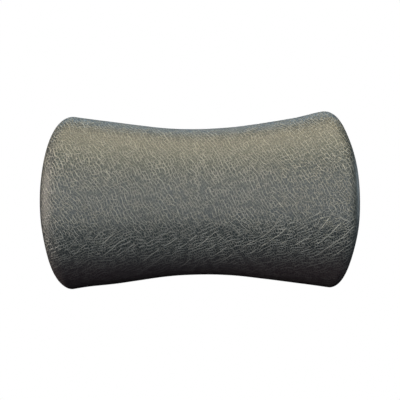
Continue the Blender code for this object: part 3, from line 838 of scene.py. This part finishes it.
coverShell = {
    "colour": (0.036, 0.038, 0.040),
    # the pebbles' tops are painted paler, a painted highlight on them and painted shade in the hollows
    "high": (0.060, 0.062, 0.064),
    "rubbed": (0.13, 0.13, 0.128),
    "cellScale": 850.0,
    "cellSoftness": 0.6,
    "cellRange": (0.15, 0.75),
    "pebbleHeight": 0.07 * mm,
    "grit": (3200.0, 2.0),
    "gritShare": 0.3,
    "cloud": (26.0, 3.0),
    "rub": (70.0, 3.0),
    "rubRange": (0.42, 0.62),
    "corner": 0.7 * mm,
    "shine": 0.45,
    "paintedHighlightShare": 0.6,
    "wornShare": 0.6,
    "roughRange": (0.3, 0.7),
    "roughness": (0.58, 0.68),
    "polished": 0.2,
}


def makeCoverShell():
    # the shell's fine pebbled texture, its tops painted paler as a painted highlight with painted shade
    # between them, polished at the corners
    made, tree, shader, place = finish("coverShell")
    wanted = {"Vector": place, "Scale": coverShell["cellScale"], "Smoothness": coverShell["cellSoftness"]}
    cells = addNode(tree, "ShaderNodeTexVoronoi", wanted, feature="SMOOTH_F1").outputs["Distance"]
    pebbles = remap(tree, cells, *coverShell["cellRange"], 1.0, 0.0)
    grit = noise(tree, place, *coverShell["grit"])
    cloud = noise(tree, place, *coverShell["cloud"])
    rub = remap(tree, noise(tree, place, *coverShell["rub"]), *coverShell["rubRange"])
    rounded, worn = edges(tree, coverShell["corner"], rub)
    colour = layered(
        tree,
        coverShell["colour"],
        (multiply(tree, pebbles, coverShell["paintedHighlightShare"]), coverShell["high"]),
        (multiply(tree, worn, coverShell["wornShare"]), coverShell["rubbed"]),
    )
    relief = mathNode(tree, "ADD", pebbles, multiply(tree, grit, coverShell["gritShare"]))
    dull = remap(tree, cloud, *coverShell["roughRange"], *coverShell["roughness"])
    rough = mathNode(tree, "SUBTRACT", dull, multiply(tree, worn, coverShell["polished"]))
    surface(tree, shader, colour, rough, relief, coverShell["pebbleHeight"], rounded)
    shader.inputs["Specular IOR Level"].default_value = coverShell["shine"]
    return made


satinKnob = {
    "colour": (0.028, 0.028, 0.030),
    "grip": (0.055, 0.055, 0.057),
    "scratch": (0.15, 0.15, 0.15),
    "satin": (1900.0, 2.0),
    "satinHeight": 0.02 * mm,
    "handled": (150.0, 3.0, 0.3),
    "gripRange": (0.4, 0.7),
    "rubRange": (0.35, 0.6),
    "hairs": (2600.0, 180.0, 520.0),
    "hairRange": (0.66, 0.72),
    "corner": 0.6 * mm,
    "hairShare": 0.3,
    "wornShare": 0.5,
    "roughRange": (0.3, 0.7),
    "roughness": (0.44, 0.30),
    "polished": 0.08,
}


def makeKnobFinish():
    # satin moulding, shinier where fingers turn it, with hairline scratches
    made, tree, shader, place = finish("satinKnob")
    satin = noise(tree, place, *satinKnob["satin"])
    handled = noise(tree, place, *satinKnob["handled"])
    hairs = remap(tree, drawn(tree, place, satinKnob["hairs"]), *satinKnob["hairRange"])
    rounded, worn = edges(tree, satinKnob["corner"], remap(tree, handled, *satinKnob["rubRange"]))
    colour = layered(
        tree,
        satinKnob["colour"],
        (remap(tree, handled, *satinKnob["gripRange"]), satinKnob["grip"]),
        (multiply(tree, hairs, satinKnob["hairShare"]), satinKnob["scratch"]),
        (multiply(tree, worn, satinKnob["wornShare"]), satinKnob["scratch"]),
    )
    dull = remap(tree, handled, *satinKnob["roughRange"], *satinKnob["roughness"])
    rough = mathNode(tree, "SUBTRACT", dull, multiply(tree, worn, satinKnob["polished"]))
    surface(tree, shader, colour, rough, satin, satinKnob["satinHeight"], rounded)
    return made


birchPly = {
    "pale": (0.66, 0.50, 0.32),
    "grain": (0.46, 0.31, 0.17),
    "glueLine": (0.20, 0.12, 0.07),
    "crossPly": (0.50, 0.36, 0.22),
    "ply": 1.5 * mm,
    "glueRange": (0.44, 0.49),
    "years": ((14.0, 60.0, 230.0), 4.0),
    "yearRange": (0.35, 0.65),
    "pores": (180.0, 900.0, 2600.0),
    "poreRange": (0.58, 0.70),
    "grainHeight": 0.06 * mm,
    "crossShare": 0.55,
    "poreShare": 0.5,
    "glueShare": 0.85,
    "poreDepth": 0.8,
    "roughRange": (0.3, 0.7),
    "roughness": (0.62, 0.74),
}


def makePlywood():
    # six veneers with glue between, long grain and end grain by turns
    made, tree, shader, place = finish("birchPly")
    plyAt = mathNode(tree, "DIVIDE", split(tree, place)[1], birchPly["ply"])
    half = mathNode(tree, "FRACT", multiply(tree, mathNode(tree, "FLOOR", plyAt), 0.5))
    turnedPly = mathNode(tree, "GREATER_THAN", half, 0.25)  # every other veneer
    nearGlue = mathNode(tree, "ABSOLUTE", mathNode(tree, "SUBTRACT", mathNode(tree, "FRACT", plyAt), 0.5))
    years = drawn(tree, place, *birchPly["years"])
    pores = remap(tree, drawn(tree, place, birchPly["pores"]), *birchPly["poreRange"])
    glue = remap(tree, nearGlue, *birchPly["glueRange"])
    colour = layered(
        tree,
        birchPly["pale"],
        (remap(tree, years, *birchPly["yearRange"]), birchPly["grain"]),
        (multiply(tree, turnedPly, birchPly["crossShare"]), birchPly["crossPly"]),
        (multiply(tree, pores, birchPly["poreShare"]), birchPly["grain"]),
        (multiply(tree, glue, birchPly["glueShare"]), birchPly["glueLine"]),
    )
    relief = mathNode(tree, "SUBTRACT", years, multiply(tree, pores, birchPly["poreDepth"]))
    rough = remap(tree, years, *birchPly["roughRange"], *birchPly["roughness"])
    surface(tree, shader, colour, rough, relief, birchPly["grainHeight"])
    return made


redFibre = {
    "colour": (0.20, 0.085, 0.055),
    "pale": (0.30, 0.15, 0.10),
    "rubbed": (0.40, 0.24, 0.17),
    "mottle": (420.0, 4.0, 0.8),
    "strands": ((900.0, 260.0, 2600.0), 3.0),
    "strandHeight": 0.03 * mm,
    "paleRange": (0.75, 1.3),
    "corner": 0.2 * mm,
    "wornShare": 0.4,
    "roughRange": (0.3, 0.7),
    "roughness": (0.72, 0.86),
}


def makeFibre():
    # pressed fibre, mottled and matt, with strands in the face
    made, tree, shader, place = finish("redFibre")
    mottle = noise(tree, place, *redFibre["mottle"])
    strands = drawn(tree, place, *redFibre["strands"])
    rounded, worn = edges(tree, redFibre["corner"])
    both = mathNode(tree, "ADD", mottle, strands)
    colour = layered(
        tree,
        redFibre["colour"],
        (remap(tree, both, *redFibre["paleRange"]), redFibre["pale"]),
        (multiply(tree, worn, redFibre["wornShare"]), redFibre["rubbed"]),
    )
    rough = remap(tree, mottle, *redFibre["roughRange"], *redFibre["roughness"])
    surface(tree, shader, colour, rough, strands, redFibre["strandHeight"], rounded)
    return made


def dressNodes():
    finishes = {
        "black_steel": makePowderCoat(),
        "zinc": makeZinc(),
        "brass": makeBrass(),
        "nylon": makeNylon(),
        "cover_plastic": makeCoverShell(),
        "knob_plastic": makeKnobFinish(),
        "plywood": makePlywood(),
        "fibre": makeFibre(),
        "skin": bpy.data.materials["padSkin"],  # of the pad's plain solid, which stays hidden
    }
    for row in frame["record"]["subparts"]:
        for slot in bpy.data.objects[row["node"]].material_slots:
            slot.material = finishes[row["material_slot"]]
    print("nodes dressed in", len(finishes), "finishes")


dressNodes()


studio = {
    "backdrop": (1.0, 1.0, 1.0),
    "floorDrop": 0.42,
    "floorSize": 30.0,
    "domeRadius": 14.0,
    "cameraDistance": 0.600,
    "lens": 57.0,
    "cameraRight": 0.25 * mm,
    "cameraUp": 1.75 * mm,
    "cameraRoll": math.radians(0.8),
}


def glowing(name):
    made = bpy.data.materials.new(name)
    made.use_nodes = True
    tree = made.node_tree
    tree.nodes.clear()
    light = addNode(tree, "ShaderNodeEmission", {"Color": studio["backdrop"], "Strength": 1.0})
    out = addNode(tree, "ShaderNodeOutputMaterial")
    tree.links.new(light.outputs[0], out.inputs[0])
    return made


def makeStudio():
    middle = Vector((0, tallPlane, 0))
    deselectAll()
    bpy.ops.mesh.primitive_plane_add(size=studio["floorSize"], location=(0, 0, -studio["floorDrop"]))
    floor = bpy.context.object
    floor.name = "studioFloor"
    floor.data.materials.append(glowing("paleFloor"))
    bpy.ops.mesh.primitive_uv_sphere_add(segments=48, ring_count=24, radius=studio["domeRadius"])
    dome = bpy.context.object
    dome.name = "studioDome"
    dome.data.materials.append(glowing("paleDome"))
    for obj in (floor, dome):
        obj.visible_diffuse = False
        obj.visible_glossy = False

    world = bpy.data.worlds.new("studioAir")
    bpy.context.scene.world = world
    world.use_nodes = True
    world.node_tree.nodes["Background"].inputs["Strength"].default_value = 0.0

    lamps = (
        # name, place from the pad's middle, size, power, colour
        ("overhead", (0.0, -0.31, 1.16), (1.2, 0.35), 20.0, (1.0, 0.86, 0.61)),
        ("highFront", (0.0, -0.90, 1.07), (1.4, 0.5), 14.8, (0.98, 1.0, 0.72)),
        ("lowFront", (0.0, -1.40, 0.12), (1.6, 0.5), 19.0, (0.84, 0.92, 1.0)),
        ("behind", (0.0, 0.77, 0.92), (1.6, 0.4), 5.2, (0.43, 0.70, 1.0)),
        ("leftSide", (-1.16, -0.31, 0.10), (0.5, 0.3), 12.9, (1.0, 0.88, 0.80)),
        ("rightSide", (1.20, 0.22, 0.10), (0.5, 0.4), 3.5, (0.72, 0.88, 1.0)),
        ("backFill", (0.16, 1.25, 0.20), (0.5, 0.4), 8.0, (1.0, 0.97, 0.93)),
        ("backLow", (-0.30, 1.20, -0.15), (0.5, 0.3), 3.0, (0.92, 0.96, 1.0)),
    )
    for name, place, size, power, colour in lamps:
        data = bpy.data.lights.new(name, "AREA")
        data.shape = "RECTANGLE"
        data.size, data.size_y = size
        data.energy = power
        data.color = colour
        lamp = bpy.data.objects.new(name, data)
        bpy.context.scene.collection.objects.link(lamp)
        lamp.location = middle + Vector(place)
        lamp.rotation_euler = (-Vector(place)).to_track_quat("-Z", "Y").to_euler()
        lamp.visible_camera = False
    print("studio ready")


def makeCamera():
    data = bpy.data.cameras.new("camera")
    data.lens = studio["lens"]
    data.sensor_width = 36
    camera = bpy.data.objects.new("camera", data)
    bpy.context.scene.collection.objects.link(camera)
    camera.location = (studio["cameraRight"], tallPlane - studio["cameraDistance"], studio["cameraUp"])
    camera.rotation_euler = (math.pi / 2, studio["cameraRoll"], 0)
    bpy.context.scene.camera = camera
    bpy.context.scene.view_settings.view_transform = "Standard"


makeStudio()
makeCamera()
